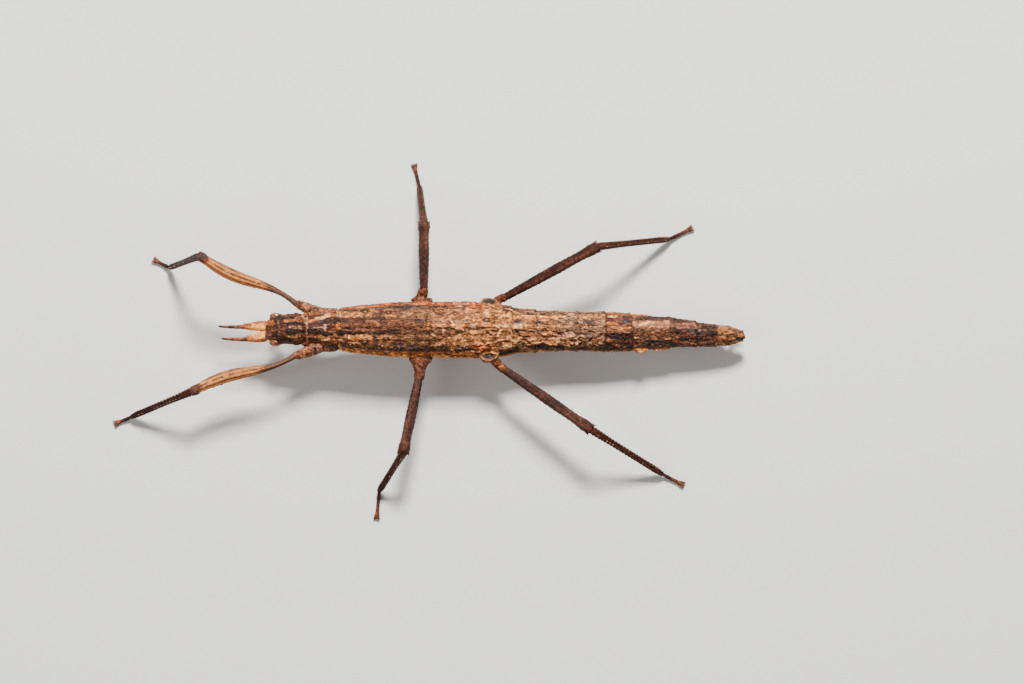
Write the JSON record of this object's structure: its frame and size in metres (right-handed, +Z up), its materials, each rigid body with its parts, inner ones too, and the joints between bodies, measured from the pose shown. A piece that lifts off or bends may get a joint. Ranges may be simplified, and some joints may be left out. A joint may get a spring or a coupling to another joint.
{
  "type": "stick insect model",
  "caption": "Life-size still model of a stout, short-horned stick insect, standing on its own legs with the forelegs stretched ahead.",
  "frame": {"origin": "floor level under the middle of the box that holds the whole insect, legs and antennae included", "axes": "+Z up; +X towards the tail, so the head points to -X; +Y is the right side of the insect"},
  "size_m": [0.0698, 0.0406, 0.0088],
  "materials": {
    "bark_brown": "matte",
    "grey_brown": "matte",
    "pale_tan": "satin",
    "orange_tan": "satin",
    "dark_brown": "satin",
    "red_brown": "satin",
    "eye_amber": "gloss"
  },
  "bodies": {
    "root": {"abdomen_10": "pale_tan", "abdomen_2": "grey_brown", "abdomen_3": "grey_brown", "abdomen_4": "grey_brown", "abdomen_5": "grey_brown", "abdomen_6": "grey_brown", "abdomen_7": "grey_brown", "abdomen_8": "grey_brown", "abdomen_9": "grey_brown", "cercus_left": "orange_tan", "cercus_right": "orange_tan", "coxa_front_left": "grey_brown", "coxa_front_right": "grey_brown", "coxa_hind_left": "grey_brown", "coxa_hind_right": "grey_brown", "coxa_mid_left": "grey_brown", "coxa_mid_right": "grey_brown", "eye_left": "eye_amber", "eye_right": "eye_amber", "femur_front_left": "orange_tan", "femur_front_right": "orange_tan", "femur_hind_left": "bark_brown", "femur_hind_right": "bark_brown", "femur_mid_left": "bark_brown", "femur_mid_right": "bark_brown", "flagellum_left": "orange_tan", "flagellum_right": "orange_tan", "head": "bark_brown", "mesothorax": "bark_brown", "metathorax": "grey_brown", "mouthparts": "dark_brown", "palp_left": "grey_brown", "palp_right": "grey_brown", "prothorax": "grey_brown", "scape_left": "pale_tan", "scape_right": "pale_tan", "subgenital_plate": "bark_brown", "tarsus_front_left": "red_brown", "tarsus_front_right": "red_brown", "tarsus_hind_left": "red_brown", "tarsus_hind_right": "red_brown", "tarsus_mid_left": "red_brown", "tarsus_mid_right": "red_brown", "tibia_front_left": "dark_brown", "tibia_front_right": "dark_brown", "tibia_hind_left": "dark_brown", "tibia_hind_right": "dark_brown", "tibia_mid_left": "dark_brown", "tibia_mid_right": "dark_brown", "trochanter_front_left": "grey_brown", "trochanter_front_right": "grey_brown", "trochanter_hind_left": "grey_brown", "trochanter_hind_right": "grey_brown", "trochanter_mid_left": "grey_brown", "trochanter_mid_right": "grey_brown"}
  },
  "joints": []
}
